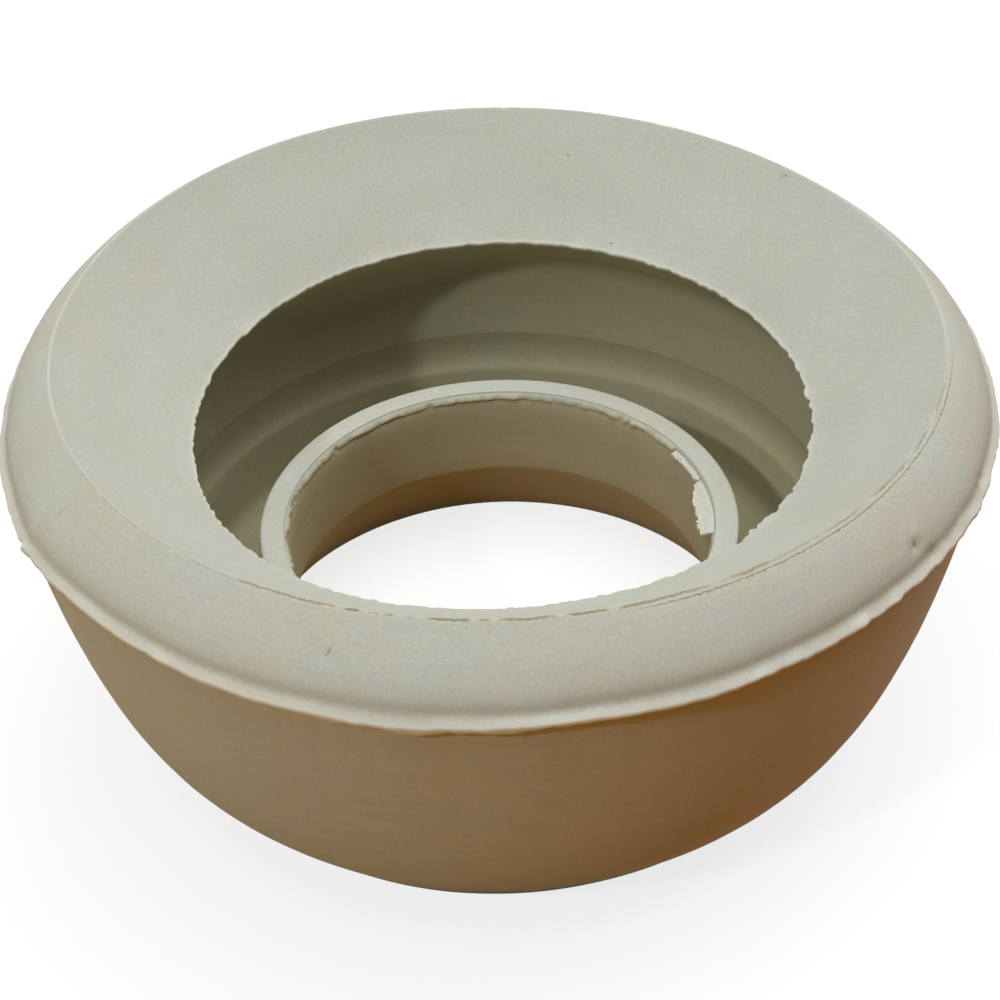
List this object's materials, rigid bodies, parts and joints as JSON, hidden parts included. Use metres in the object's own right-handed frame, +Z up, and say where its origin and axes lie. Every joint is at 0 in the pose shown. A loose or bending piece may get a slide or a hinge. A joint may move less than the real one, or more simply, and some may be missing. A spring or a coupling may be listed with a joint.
{
  "type": "flush pipe connector",
  "caption": "Soft grey moulded rubber cone with an inner sleeve that grips a flush pipe and a dished, torn-edged lip that closes on a toilet pan's inlet.",
  "frame": {"origin": "centre of the flat ring that it stands on, on the axis of the bore", "axes": "+Z up along the bore, from the pipe's side to the lip; X and Y across it"},
  "size_m": [0.082, 0.082, 0.0367],
  "materials": {
    "grey_rubber": "matt, as moulded, with torn flash at its edges"
  },
  "bodies": {
    "root": {"connector_body": "grey_rubber"}
  },
  "joints": []
}
